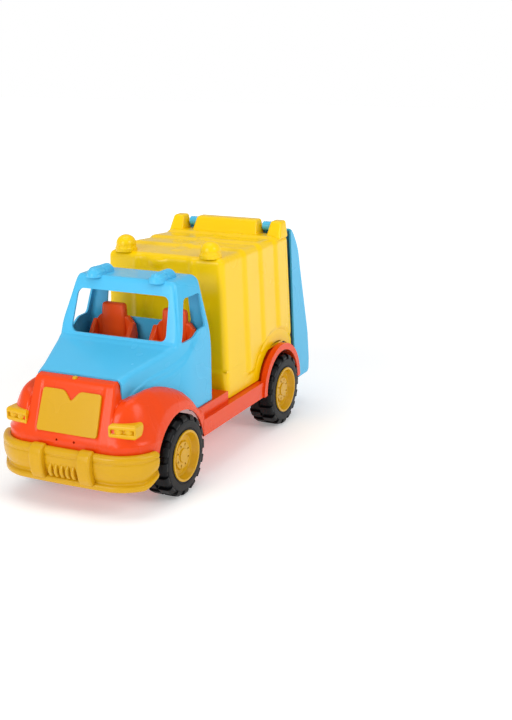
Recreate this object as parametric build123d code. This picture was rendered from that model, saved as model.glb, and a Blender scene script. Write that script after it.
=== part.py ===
"""Toy refuse truck: moulded chassis and cab, tipping container, top-hinged tailgate, two wheelsets.

Millimetres. +X points forward, +Y to the truck's left, +Z up. The origin is on the ground, under the
middle of the truck, which is also halfway between the axles.
"""
from build123d import *
import os
from math import cos, radians, sin

os.makedirs("parts", exist_ok=True)

# Driving dimensions
WALL = 2.6                 # moulded wall thickness
GAP = 0.5                  # clearance between neighbouring mouldings
FIT = 0.06                 # radial clearance of a running fit

AXLE_X = 143.9             # each axle's distance from the origin
AXLE_Z = 50.0
AXLE_R = 2.5
AXLE_END = 99.0            # half length of each axle
TYRE_R = 50.0              # over the lugs
TYRE_BODY_R = 47.4
TYRE_SEAT_R = 29.0
TYRE_IN = 68.3             # inner and outer side faces, from the middle of the truck
TYRE_OUT = 105.0
LUGS = 16
RIM_LIP_R = 31.2
RIM_FACE = 106.0           # outer face of the rim's lip

SILL_HALF = 98.9           # half widths of the chassis
SILL_LOW = 54.9
SILL_TOP = 76.0
BLOCK_HALF = 92.9
BLOCK_TOP = 90.0
BLOCK_BACK = 9.0
FRAME_HALF = 61.0          # the frame between the wheels
FRONT_ARCH_R = 56.1
FRONT_ARCH_Z = 48.6
REAR_ARCH_R = 51.1
REAR_ARCH_Z = 55.2
REAR_FLANGE_R = 60.0
REAR_FLANGE_OUT = 101.3
NOSE_X = 240.5             # front of the chassis band, behind the bumper

CAB_BACK = 44.0
CAB_HALF = 91.5
CAB_LOW = 92.0
ROOF_Z = 248.0
HOOD_FRONT_X = 208.5
HOOD_FRONT_HALF = 57.0

BOX_FRONT = 6.0            # container
BOX_TOP = 262.0
LIP_TOP = 280.0
BOX_BACK_TOP = -193.0
BOX_BACK_LOW = -201.0
BOX_HALF_TOP = 86.6
BOX_HALF_LOW = 92.9
BOX_LOW = 77.0
BOX_ARCH_R = 61.5
FLOOR_Z = 111.0            # underside of the container's floor plate

BAR_X = -189.0             # hinge bars of the tailgate
BAR_Z = 270.5
BAR_R = 2.6
KNUCKLE_R = 6.0
KNUCKLE_Y = 57.5
KNUCKLE_HALF = 6.2
PIVOT_X = -186.0           # tipping pin
PIVOT_Z = 64.0
PIN_R = 2.5
PIN_HALF = 58.0
LUG_R = 7.0                # hanging lugs of the container floor, round the tipping pin
SIDES = (1, -1)

SCREW_R = 1.5
SCREW_HEAD_R = 3.2
SCREW_HEAD = 2.2
SCREW_GRIP = 8.0           # length inside the boss
BOSS_R = 4.2
BOSS_LENGTH = 14.0
CAB_BOSSES = [(x, side * 80) for x in (54, 84) for side in SIDES]
SEAT_Y = 44.0
SEAT_BOSSES = [(66, side * SEAT_Y) for side in SIDES]
FLOOR_BOSSES = [(x, side * 82) for x in (-4, -178) for side in SIDES]

CORD_HOLE_R = 1.5          # the two holes for a pull cord in the nose
CORD_HOLE_Y = 11.8
CORD_HOLE_Z = 84.3

GRILLE_FOOT = (237.7, 91.0)    # (x, z) of the grille face's lower and upper edges
GRILLE_HEAD = (219.5, 141.0)
GRILLE_THICK = 1.8
LAMP_IN = 55.5             # headlight housing
LAMP_OUT = 88.0
LAMP_LOW = 94.0
LAMP_TOP = 110.5
LAMP_BACK = 212.0
LAMP_FACE = 231.5
LAMP_DEPTH = 9.0

WHEEL_HUB = (84.0, 161.0)  # (x, z) of the steering wheel's centre, in front of the left seat
WHEEL_LEAN = 35.0          # degrees that its axis leans back from upright
WHEEL_R = 17.0
SPINDLE_R = 2.5


def outline(corners):
    """Closed face from (a, b) or (a, b, corner radius) entries, in the local plane."""
    places = [(corner[0], corner[1]) for corner in corners]
    radii = [corner[2] if len(corner) > 2 else 0 for corner in corners]
    return make_face(FilletPolyline(*places, radius=radii, close=True))


def both_sides(corners):
    """Plan outline (x, y) or front outline (y, z) completed by its mirror image in y."""
    return corners + [(corner[0], -corner[1], *corner[2:]) for corner in reversed(corners)]


def both_halves(corners):
    """Front-view outline (y, z) completed by its mirror image in y."""
    return corners + [(-corner[0], corner[1], *corner[2:]) for corner in reversed(corners)]


def side_prism(face, y_low, y_high):
    """Face drawn in (x, z), carried from y_low to y_high."""
    return extrude(Plane(origin=(0, y_high, 0), x_dir=(1, 0, 0), z_dir=(0, -1, 0)) * face, y_high - y_low)


def plan_prism(face, z_low, z_high):
    """Face drawn in (x, y), carried from z_low to z_high."""
    return extrude(Pos(0, 0, z_low) * face, z_high - z_low)


def front_prism(face, x_low, x_high):
    """Face drawn in (y, z), carried from x_low to x_high."""
    return extrude(Plane(origin=(x_low, 0, 0), x_dir=(0, 1, 0), z_dir=(1, 0, 0)) * face, x_high - x_low)


def block(x_low, x_high, y_low, y_high, z_low, z_high):
    """Box between two corners."""
    middle = ((x_low + x_high) / 2, (y_low + y_high) / 2, (z_low + z_high) / 2)
    return Pos(*middle) * Box(x_high - x_low, y_high - y_low, z_high - z_low)


def shrunk(face, depth):
    """The outline moved inwards by depth, with sharp corners kept sharp."""
    return offset(face, amount=-depth, kind=Kind.INTERSECTION) if depth else face


def rod_y(x, z, radius, y_low, y_high):
    """Cylinder along Y."""
    return Pos(x, (y_low + y_high) / 2, z) * Rot(90, 0, 0) * Cylinder(radius, y_high - y_low)


# --- outlines that two pieces share ---------------------------------------------------------------

# crest of the front fender, from its rear foot to the nose
FENDER_CREST = [(90, 97, 10), (106, 117, 30), (143, 136, 60), (190, 143, 60), (214, 132, 25), (231, 106, 20)]
# the cab's lower edge runs inside that crest and this much lower
HEM_DROP = 9.0


def cab_plan():
    half = [(CAB_BACK, CAB_HALF, 6), (102, CAB_HALF, 30), (HOOD_FRONT_X, HOOD_FRONT_HALF, 6)]
    return outline(both_sides(half))


def cab_side():
    hem = [(x, z - HEM_DROP, 12) for x, z, _ in FENDER_CREST[1:4]]
    front = [(HOOD_FRONT_X, 128), (HOOD_FRONT_X, 155, 5), (121, 176.5, 8), (99, ROOF_Z, 12)]
    return outline([(CAB_BACK, CAB_LOW), (92, CAB_LOW)] + hem + front + [(CAB_BACK, ROOF_Z, 9)])


def cab_front():
    return outline(both_halves([(CAB_HALF, CAB_LOW - 5), (CAB_HALF, 168, 20), (73.5, ROOF_Z, 10)]))


def cab_body(depth):
    """The cab's outer form, or the same form that much smaller all round."""
    side, plan, front = [shrunk(face, depth) for face in (cab_side(), cab_plan(), cab_front())]
    body = side_prism(side, -CAB_HALF - 1, CAB_HALF + 1) & plan_prism(plan, 50, 260)
    return body & front_prism(front, 30, 220)


def boss(x, y, low):
    """Screw boss with its pilot hole, open below."""
    post = Pos(x, y, low + BOSS_LENGTH / 2) * Cylinder(BOSS_R, BOSS_LENGTH)
    return post - Pos(x, y, low + SCREW_GRIP / 2) * Cylinder(SCREW_R, SCREW_GRIP)


def screw(x, y, head_z, length):
    """Self-tapping screw that points up, with the underside of its head at head_z."""
    head = Pos(x, y, head_z - SCREW_HEAD / 2) * Cylinder(SCREW_HEAD_R, SCREW_HEAD)
    head -= Pos(x, y, head_z - SCREW_HEAD) * Box(SCREW_HEAD_R * 1.3, 0.8, 1.2)
    head -= Pos(x, y, head_z - SCREW_HEAD) * Box(0.8, SCREW_HEAD_R * 1.3, 1.2)
    return head + Pos(x, y, head_z + length / 2) * Cylinder(SCREW_R, length)


# --- cab --------------------------------------------------------------------------------------------
def cab():
    shell = cab_body(0)
    hollow = cab_body(WALL)
    for drop in (0, 2 * WALL, 4 * WALL):
        shell -= Pos(0, 0, -drop) * hollow
    screen = outline(both_halves([(67, 177.5, 9), (64, 232, 9)]))
    slope = outline([(85, 170), (160, 170), (160, 240), (85, 240)])
    shell -= front_prism(screen, 96, 160) & side_prism(slope, -80, 80)
    rear_window = outline(both_halves([(62, 184, 6), (57, 230, 6)]))
    shell -= front_prism(rear_window, CAB_BACK - 5, CAB_BACK + 8)
    door = outline([(55, 185, 4), (77, 184.5, 4), (86, 177.5, 8), (112, 177, 5), (87, 228, 5), (53, 228, 5)])
    shell -= side_prism(door, 60, 100)
    shell -= side_prism(door, -100, -60)
    for side in SIDES:
        lamp_front = Pos(93, side * SEAT_Y, ROOF_Z - 4) * Sphere(11)
        lamp_rear = Pos(76, side * SEAT_Y, ROOF_Z - 2.5) * Rot(0, 90, 0) * Cylinder(8, 16)
        shell += (lamp_front + lamp_rear) & block(60, 110, -80, 80, ROOF_Z - 1.5, ROOF_Z + 12)
    for x, y in CAB_BOSSES:
        shell += boss(x, y, BLOCK_TOP + GAP)
        low, high = sorted((y, (CAB_HALF - 1) * y / abs(y)))
        rib = block(x - 1, x + 1, low, high, 98, BLOCK_TOP + GAP + BOSS_LENGTH)
        shell += rib - Pos(x, y, 100) * Cylinder(2, 30)
    return shell


# --- chassis ----------------------------------------------------------------------------------------
def nose_body(depth):
    """Front of the chassis: fenders, centre box and the band above the bumper."""
    fender = outline([(86, 58)] + FENDER_CREST + [(237, 89, 3), (NOSE_X, 84), (NOSE_X, 58)])
    top = [(150, 58), (150, 150), (206, 155.5), (213, 150, 4)]
    box = outline(top + [GRILLE_HEAD, GRILLE_FOOT, (GRILLE_FOOT[0], 58)])
    round_top = outline(both_halves([(98.5, 58), (98.5, 98, 16), (88, 126, 24), (66, 144, 16)]))
    box_front = outline(both_halves([(57.5, 58), (51.5, 156, 7)]))
    plan = outline(nose_plan())
    faces = (fender, box, round_top, box_front, plan)
    fender, box, round_top, box_front, plan = [shrunk(face, depth) for face in faces]
    fenders = side_prism(fender, -99, 99) & front_prism(round_top, 80, 245)
    centre = side_prism(box, -60, 60) & front_prism(box_front, 80, 245)
    return (fenders + centre) & plan_prism(plan, 50, 160)


def nose_plan():
    return both_sides([(86, 98.5), (196, 98.5, 30), (235, 82, 30), (NOSE_X, 30)])


def rear_arch(side):
    """Wheel well with its flange proud of the container's side."""
    well = rod_y(-AXLE_X, REAR_ARCH_Z, REAR_ARCH_R + WALL, FRAME_HALF, SILL_HALF)
    flange = rod_y(-AXLE_X, REAR_ARCH_Z, REAR_FLANGE_R, BOX_HALF_LOW + GAP, REAR_FLANGE_OUT)
    space = rod_y(-AXLE_X, REAR_ARCH_Z, REAR_ARCH_R, FRAME_HALF + WALL, REAR_FLANGE_OUT + 1)
    arch = (well + flange - space) & block(-220, -60, 0, 120, SILL_LOW, 130)
    return arch if side > 0 else mirror(arch, Plane.XZ)


def axle_ribs():
    """Pairs of ribs that carry the axles, under a plate that ties them to the frame."""
    ribs = block(88, 236, -60, 60, 70, 70 + WALL)
    for side in SIDES:
        low, high = sorted((side * 54, side * 60))
        ribs += block(AXLE_X - 14, AXLE_X + 14, low, high, 42, 71)
        ribs += block(-AXLE_X - 14, -AXLE_X + 14, low, high, 42, 75)
        for inner, outer in ((28, 33), (51, 56)):
            low, high = sorted((side * inner, side * outer))
            ribs += block(PIVOT_X - 8, PIVOT_X + 8, low, high, 56, 75)
    return ribs


def grille_plane():
    rise = Vector(GRILLE_HEAD[0] - GRILLE_FOOT[0], 0, GRILLE_HEAD[1] - GRILLE_FOOT[1])
    return Plane(origin=(GRILLE_FOOT[0], 0, GRILLE_FOOT[1]), x_dir=(0, 1, 0), z_dir=(rise.Z, 0, -rise.X))


def grille_outline():
    half = [(41.3, 1.5, 6), (39.6, 51, 5), (10, 51, 3)]
    return outline(half + [(0, 39, 2)] + [(-y, s, r) for y, s, r in reversed(half)])


def grille_tab(margin):
    """Arm behind the grille and the tab that snaps through the top of the centre box."""
    arm = block(208.5 - margin, 224, -3 - margin, 3 + margin, 124 - margin, 129 + margin)
    return arm + block(208.5 - margin, 213 + margin, -3 - margin, 3 + margin, 124, 154)


def headlight_block(margin):
    """Body of the left headlight, or the hole for it with a margin all round."""
    low, high = LAMP_LOW - margin, LAMP_TOP + margin
    inner, outer = LAMP_IN - margin, LAMP_OUT + margin
    face = outline([(inner, low, 3), (outer, low, 3), (outer, high, 3), (inner, high, 3)])
    return front_prism(face, LAMP_BACK - margin, LAMP_FACE)


def chassis():
    body = block(-88, 88, -SILL_HALF, SILL_HALF, SILL_LOW, SILL_TOP)
    body += block(BLOCK_BACK, 95, -BLOCK_HALF, BLOCK_HALF, SILL_TOP - 1, BLOCK_TOP)
    body += block(-196, -80, -FRAME_HALF, FRAME_HALF, SILL_LOW, SILL_TOP)
    body += nose_body(0)
    # hollow from below
    body -= block(-88 + WALL, 95, -SILL_HALF + WALL, SILL_HALF - WALL, 0, SILL_TOP - WALL)
    body -= block(BLOCK_BACK + WALL, 95, -BLOCK_HALF + WALL, BLOCK_HALF - WALL, 0, BLOCK_TOP - WALL)
    body -= block(-196 + WALL, -80, -FRAME_HALF + WALL, FRAME_HALF - WALL, 0, SILL_TOP - WALL)
    hollow = nose_body(WALL)
    for drop in (0, 6, 12):
        body -= Pos(0, 0, -drop) * hollow
    # the cab stands on the block and drops inside the fenders
    body -= cab_body(-GAP) & block(40, 220, -100, 100, BLOCK_TOP, 200)
    body -= block(80, 96, -CAB_HALF - GAP, CAB_HALF + GAP, BLOCK_TOP, 100)
    for side in SIDES:
        low, high = sorted((side * 62, side * 120))
        body -= rod_y(AXLE_X, FRONT_ARCH_Z, FRONT_ARCH_R, low, high)
        body += rear_arch(side)
    body += axle_ribs()
    for side in SIDES:
        low, high = sorted((side * 35, side * 49))
        body -= block(-200, -170, low, high, 50, 80)
        light = headlight_block(0.2)
        body -= light if side > 0 else mirror(light, Plane.XZ)
        body -= Pos(NOSE_X, side * CORD_HOLE_Y, CORD_HOLE_Z) * Rot(0, 90, 0) * Cylinder(CORD_HOLE_R, 16)
    body -= grille_tab(0.3)
    body -= extrude(grille_plane().offset(-GRILLE_THICK) * offset(grille_outline(), amount=0.2), 6)
    body -= rod_y(AXLE_X, AXLE_Z, AXLE_R + FIT, -61, 61)
    body -= rod_y(-AXLE_X, AXLE_Z, AXLE_R + FIT, -61, 61)
    body -= rod_y(PIVOT_X, PIVOT_Z, PIN_R, -61, 61)
    for x, y in CAB_BOSSES + SEAT_BOSSES:
        body -= Pos(x, y, BLOCK_TOP) * Cylinder(SCREW_R + 0.25, 3 * WALL)
    return body


# --- front fittings ---------------------------------------------------------------------------------
def bumper_plan():
    return outline(both_sides([(197.5, 101.5), (238, 85.5, 30), (246, 30)]))


def front_bumper():
    front = [(243.5, 33, 3), (247, 38, 3), (244, 44), (248.5, 58, 4), (247.5, 76, 3)]
    side = outline([(180, 33)] + front + [(180, 76)])
    body = plan_prism(bumper_plan(), 33, 76) & side_prism(side, -110, 110)
    core = side_prism(shrunk(side, WALL), -110, 110) + block(150, 243, -110, 110, 40, 90)
    body -= core & plan_prism(shrunk(bumper_plan(), WALL + 1.5), 36, 90)
    nose = shrunk(outline(nose_plan()), -0.4)
    body -= plan_prism(nose, 40, 90)
    body -= plan_prism(shrunk(bumper_plan(), 14), 20, 60)
    for side_sign in SIDES:
        rider = outline([(240, 38, 2), (252, 40, 8), (257, 58, 20), (255, 76, 8), (240, 78, 2)])
        body += side_prism(rider, side_sign * 32.6 - 9, side_sign * 32.6 + 9)
    for index in range(5):
        y = (index - 2) * 7.6
        body += side_prism(outline([(241, 41), (249, 43, 3), (251.5, 54, 3), (241, 58)]), y - 2, y + 2)
    # the overriders and ribs stay in front of the nose too
    return body - plan_prism(nose, 56, 90)


def grille_plate():
    plate = extrude(grille_plane().offset(-GRILLE_THICK) * grille_outline(), GRILLE_THICK)
    return plate + (grille_tab(0) & side_prism(grille_back(), -10, 10))


def grille_back():
    """Space behind the grille's face, in (x, z)."""
    rear = [(205, 170), (190, 170)]
    return outline([(190, 100), (GRILLE_FOOT[0] - 4.5, 100), (GRILLE_HEAD[0] - 1, 141)] + rear)


def headlight(side):
    inner, outer, low, high = LAMP_IN + 2, LAMP_OUT - 2, LAMP_LOW + 2, LAMP_TOP - 2
    mouth = outline([(inner, low, 2), (outer, low, 2), (outer, high, 2), (inner, high, 2)])
    housing = headlight_block(0) - front_prism(mouth, LAMP_FACE - LAMP_DEPTH, LAMP_FACE + 5)
    middle = (LAMP_LOW + LAMP_TOP) / 2
    for y in (LAMP_IN + 9.5, LAMP_OUT - 9.5):
        housing += Pos(LAMP_FACE - LAMP_DEPTH + 1, y, middle) * Rot(0, 90, 0) * Cylinder(6, 4)
    return housing if side > 0 else mirror(housing, Plane.XZ)


# --- interior ---------------------------------------------------------------------------------------
def wheel_axis_plane():
    lean = radians(WHEEL_LEAN)
    hub = (WHEEL_HUB[0], SEAT_Y, WHEEL_HUB[1])
    return Plane(origin=hub, x_dir=(0, 1, 0), z_dir=(-sin(lean), 0, cos(lean)))


def seat_unit():
    low = BLOCK_TOP + GAP
    unit = block(49, 95, -72, 72, low, low + WALL) + block(90, 138, -56, 56, low, low + WALL)
    for side in SIDES:
        half = [(18, 204, 5), (18, 190, 4), (30, 186, 12), (30, low, 0)]
        back = outline(both_halves(half))
        seat = Pos(0, side * SEAT_Y, 0) * front_prism(back, 49, 61)
        seat += block(60, 82, side * SEAT_Y - 29, side * SEAT_Y + 29, low, 132)
        for edge in SIDES:
            middle = side * SEAT_Y + edge * 27
            bolster = outline([(60, low), (82, low), (82, 138, 6), (70, 170, 14), (60, 182)])
            seat += side_prism(bolster, middle - 3, middle + 3)
        seat -= block(51, 59.5, side * SEAT_Y - 27, side * SEAT_Y + 27, 0, 183)
        seat -= block(51, 80, side * SEAT_Y - 27, side * SEAT_Y + 27, 0, 129)
        unit += seat
    for x, y in SEAT_BOSSES:
        unit += boss(x, y, low) + block(x - 1, x + 1, y - 27.5, y + 27.5, low + 4, low + BOSS_LENGTH)
        unit -= Pos(x, y, low + SCREW_GRIP / 2) * Cylinder(SCREW_R, SCREW_GRIP + 1)
    column = wheel_axis_plane().offset(-49) * Cylinder(5, 82)
    unit += column & block(60, 150, 20, 70, low, 160)
    return unit - wheel_axis_plane().offset(-10) * Cylinder(SPINDLE_R + FIT, 40)


def steering_wheel():
    wheel = Torus(WHEEL_R, 3) + Cylinder(5, 6)
    for index in range(3):
        wheel += Rot(0, 0, 90 + 120 * index) * Pos(WHEEL_R / 2, 0, 0) * Box(WHEEL_R, 5, 3)
    wheel += Pos(0, 0, -15) * Cylinder(SPINDLE_R, 29)
    return wheel_axis_plane() * wheel


# --- container and tailgate -------------------------------------------------------------------------
def box_side():
    """The container's side view, without its lip and domes."""
    rear = [(BOX_BACK_TOP, BOX_TOP), (BOX_BACK_LOW, BOX_LOW)]
    return outline([(BOX_FRONT, BOX_LOW), (BOX_FRONT, BOX_TOP, 8)] + rear)


def box_front_view():
    return outline(both_halves([(BOX_HALF_LOW, BOX_LOW - 20), (BOX_HALF_TOP, BOX_TOP, 8)]))


def container():
    body = side_prism(box_side(), -100, 100) & front_prism(box_front_view(), -220, 20)
    # raised lip at the rear, with two gaps for the tailgate's hooks
    ramp = [(-160, BOX_TOP - 1), (-166, BOX_TOP), (-176, LIP_TOP, 4)]
    lip = side_prism(outline(ramp + [(BOX_BACK_TOP, LIP_TOP, 2), (BOX_BACK_TOP, BOX_TOP - 1)]), -100, 100)
    lip &= front_prism(outline(both_halves([(BOX_HALF_TOP, BOX_TOP - 2), (84, LIP_TOP, 6)])), -220, 0)
    for side in SIDES:
        low, high = sorted((side * (KNUCKLE_Y - 7.5), side * (KNUCKLE_Y + 7.5)))
        lip -= block(-220, -150, low, high, BOX_TOP, 300)
    body += lip
    front, top = BOX_FRONT - WALL, BOX_TOP - WALL
    inner = side_prism(outline([(front, 0), (front, top, 6), (-230, top), (-230, 0)]), -100, 100)
    mouth = outline(both_halves([(BOX_HALF_LOW - WALL, 50), (BOX_HALF_LOW - WALL, BOX_LOW)]))
    body -= inner & (front_prism(shrunk(box_front_view(), WALL), -230, 20) + front_prism(mouth, -230, 20))
    body -= rod_y(-AXLE_X, REAR_ARCH_Z, BOX_ARCH_R, -120, 120)
    for side in SIDES:
        dome = Pos(-8, side * 62, BOX_TOP) * Cylinder(12, 11) + Pos(-8, side * 62, BOX_TOP + 5) * Sphere(12)
        body += dome & block(-30, 15, -90, 90, BOX_TOP - 1, 300)
        low, high = sorted((side * (KNUCKLE_Y - 9), side * (KNUCKLE_Y + 9)))
        body += rod_y(BAR_X, BAR_Z, BAR_R, low, high)
    for x, y in FLOOR_BOSSES:
        body += boss(x, y, FLOOR_Z + WALL)
        low, high = sorted((y, (BOX_HALF_LOW - 3) * y / abs(y)))
        body += block(x - 1, x + 1, low, high, FLOOR_Z + WALL + 2, FLOOR_Z + WALL + BOSS_LENGTH)
        body -= Pos(x, y, FLOOR_Z + WALL + SCREW_GRIP / 2) * Cylinder(SCREW_R, SCREW_GRIP + 1)
    return body


def container_floor():
    plate = block(-197, BOX_FRONT - WALL - 0.2, -88.3, 88.3, FLOOR_Z, FLOOR_Z + WALL)
    for side in SIDES:
        low, high = sorted((side * 39.5, side * 44.5))
        lug = block(PIVOT_X - LUG_R, PIVOT_X + LUG_R, low, high, PIVOT_Z, FLOOR_Z + 1)
        plate += lug + rod_y(PIVOT_X, PIVOT_Z, LUG_R, low, high)
    plate -= rod_y(PIVOT_X, PIVOT_Z, PIN_R + FIT, -50, 50)
    for x, y in FLOOR_BOSSES:
        plate -= Pos(x, y, FLOOR_Z) * Cylinder(SCREW_R + 0.25, 4 * WALL)
    return plate


def gate_side():
    """The tailgate's side view."""
    back = [(-203, 266, 3), (-214, 258, 8), (-229, 236, 30), (-256, 86, 14), (-252, 46, 5)]
    return back + [(-217, 46, 3), (-204, 86)]


def gate_front_view(depth):
    """The container's front view carried down to the tailgate's foot, moved inwards by depth."""
    half = [(BOX_HALF_LOW + 1, 40), (BOX_HALF_LOW, BOX_LOW), (BOX_HALF_TOP - 0.2, 266, 8)]
    return shrunk(outline(both_halves(half)), depth)


def gate_ring(corners, depth):
    """Frame as deep in x as the (x, z) outline, inset by depth from the tailgate's sides."""
    mouth = front_prism(gate_front_view(depth + 1.5 * WALL), -280, -150)
    ring = side_prism(outline(corners), -100, 100) & front_prism(gate_front_view(depth), -280, -150)
    return ring - (mouth & block(-280, -150, -100, 100, 110, 251))


def tailgate():
    side = outline(gate_side())
    outer = side_prism(side, -100, 100) & front_prism(gate_front_view(0), -280, -150)
    inner = side_prism(shrunk(side, WALL), -100, 100) & front_prism(gate_front_view(WALL), -280, -150)
    body = outer - inner - Pos(2 * WALL, 0, 0) * inner
    # rim that enters the container's mouth, on a step inside the shell
    body += gate_ring([(-206, 254), (-196.5, 254), (-202.5, 116), (-208, 116)], WALL + 0.6)
    body += gate_ring([(-211, 254), (-204.6, 254), (-207, 116), (-213, 116)], WALL / 2)
    for side in SIDES:
        low, high = sorted((side * KNUCKLE_Y - KNUCKLE_HALF, side * KNUCKLE_Y + KNUCKLE_HALF))
        neck = [(-208, 260), (-190, 265.4), (-190, BAR_Z + 5.8), (-197, BAR_Z + 4.5, 4), (-208, 263.5)]
        hook = rod_y(BAR_X, BAR_Z, KNUCKLE_R, low, high) + side_prism(outline(neck), low, high)
        hook -= rod_y(BAR_X, BAR_Z, BAR_R + FIT, low - 1, high + 1)
        # slot through which the hook snaps over its bar
        slot = [(BAR_X, BAR_Z - 1.8), (-176, BAR_Z - 8), (-176, BAR_Z - 1), (BAR_X, BAR_Z + 1.8)]
        body += hook - side_prism(outline(slot), low - 1, high + 1)
    return body


# --- wheels -----------------------------------------------------------------------------------------
def tyre(x, side):
    """Moulded tyre with two staggered rows of lugs."""
    inner = [(TYRE_SEAT_R, TYRE_IN + 1), (TYRE_BODY_R - 2, TYRE_IN, 4), (TYRE_BODY_R, TYRE_IN + 6)]
    outer = [(TYRE_BODY_R, TYRE_OUT - 6), (TYRE_BODY_R - 2, TYRE_OUT, 4), (TYRE_SEAT_R, TYRE_OUT - 1)]
    profile = outline(inner + outer)
    body = revolve(Plane(origin=(0, 0, 0), x_dir=(1, 0, 0), z_dir=(0, 0, 1)) * profile, Axis.Y)
    width = (TYRE_OUT - TYRE_IN) / 2
    for index in range(LUGS):
        for row in (0, 1):
            turn = Rot(0, (index + row / 2) * 360 / LUGS, 0)
            middle = TYRE_IN + width * (row + 0.5)
            body += turn * Pos(0, middle, TYRE_BODY_R) * Box(10, width - 0.6, 2 * (TYRE_R - TYRE_BODY_R))
    body &= rod_y(0, 0, TYRE_R, TYRE_IN - 1, TYRE_OUT + 1)
    body = body if side > 0 else mirror(body, Plane.XZ)
    return Pos(x, 0, AXLE_Z) * body


def rim(x, side):
    """Deep-dished wheel with a raised hub disc and eight slots, pressed on its axle."""
    seat = TYRE_SEAT_R
    hub = [(AXLE_R, 76), (7, 76), (7, 94)]
    barrel = [(seat - 3, 94), (seat - 3, TYRE_IN + 4), (seat, TYRE_IN + 4), (seat, TYRE_OUT - 0.8)]
    lip = [(RIM_LIP_R, TYRE_OUT - 0.8), (RIM_LIP_R, RIM_FACE, 0.6), (28.6, RIM_FACE, 0.6)]
    dish = [(25, 97.5, 2), (17.5, 97.5, 2), (16.5, 100.5, 1), (9, 100.5), (8.5, 102, 0.5)]
    centre = [(0, 102), (0, AXLE_END), (AXLE_R, AXLE_END)]
    body = revolve(outline(hub + barrel + lip + dish + centre), Axis.Y)
    for index in range(8):
        body -= Rot(0, (index + 0.5) * 45, 0) * Pos(0, 97, 13.3) * Box(2.2, 12, 3.4)
    body = body if side > 0 else mirror(body, Plane.XZ)
    return Pos(x, 0, AXLE_Z) * body


def axle(x):
    return rod_y(x, AXLE_Z, AXLE_R, -AXLE_END, AXLE_END)


# --- hand-out ---------------------------------------------------------------------------------------
def nodes():
    yield "chassis", chassis()
    yield "cab", cab()
    yield "front_bumper", front_bumper()
    yield "grille_plate", grille_plate()
    yield "headlight_left", headlight(1)
    yield "headlight_right", headlight(-1)
    yield "seat_unit", seat_unit()
    yield "steering_wheel", steering_wheel()
    yield "container", container()
    yield "container_floor", container_floor()
    yield "tailgate", tailgate()
    yield "tipping_pin", rod_y(PIVOT_X, PIVOT_Z, PIN_R, -PIN_HALF, PIN_HALF)
    for end, x in (("front", AXLE_X), ("rear", -AXLE_X)):
        yield f"axle_{end}", axle(x)
        for name, side in (("left", 1), ("right", -1)):
            yield f"tyre_{end}_{name}", tyre(x, side)
            yield f"rim_{end}_{name}", rim(x, side)
    grip = WALL + GAP + SCREW_GRIP - 1
    yield "body_screws", Compound([screw(x, y, BLOCK_TOP - WALL, grip) for x, y in CAB_BOSSES + SEAT_BOSSES])
    yield "floor_screws", Compound([screw(x, y, FLOOR_Z, WALL + SCREW_GRIP - 1) for x, y in FLOOR_BOSSES])


for node, shape in nodes():
    export_step(shape, f"parts/{node}.step")
    print(node, round(shape.volume))
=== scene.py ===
"""Looks of the toy refuse truck: every moulding, wheel and screw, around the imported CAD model.

Metres. +X points forward, +Y to the truck's left, +Z up, and the origin is on the ground under the middle.
"""
import bmesh
import bpy
from math import atan2, cos, hypot, pi, radians, sin
from mathutils import Matrix, Vector


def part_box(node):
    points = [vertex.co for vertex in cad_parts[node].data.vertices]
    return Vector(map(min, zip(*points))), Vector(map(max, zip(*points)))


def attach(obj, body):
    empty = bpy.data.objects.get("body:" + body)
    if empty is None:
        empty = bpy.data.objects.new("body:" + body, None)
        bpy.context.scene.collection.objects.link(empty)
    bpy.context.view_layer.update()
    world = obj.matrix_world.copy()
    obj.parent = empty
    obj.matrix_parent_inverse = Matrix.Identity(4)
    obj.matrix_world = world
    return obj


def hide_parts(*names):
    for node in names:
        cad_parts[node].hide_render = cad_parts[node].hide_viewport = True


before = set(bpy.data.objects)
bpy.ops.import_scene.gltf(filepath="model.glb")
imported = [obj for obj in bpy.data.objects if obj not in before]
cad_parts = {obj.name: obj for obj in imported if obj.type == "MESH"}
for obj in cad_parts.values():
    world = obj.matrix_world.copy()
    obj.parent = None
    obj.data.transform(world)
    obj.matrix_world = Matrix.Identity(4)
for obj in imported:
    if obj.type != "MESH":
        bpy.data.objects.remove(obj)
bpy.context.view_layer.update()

# ---------------------------------------------------------------------------------------------------
# Chassis: one orange moulding with the sills, the bonnet surround, both front wings and the rear arches.
# It is injection moulded with a 2.6 mm wall and open below; everything else snaps or screws to it.

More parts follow.
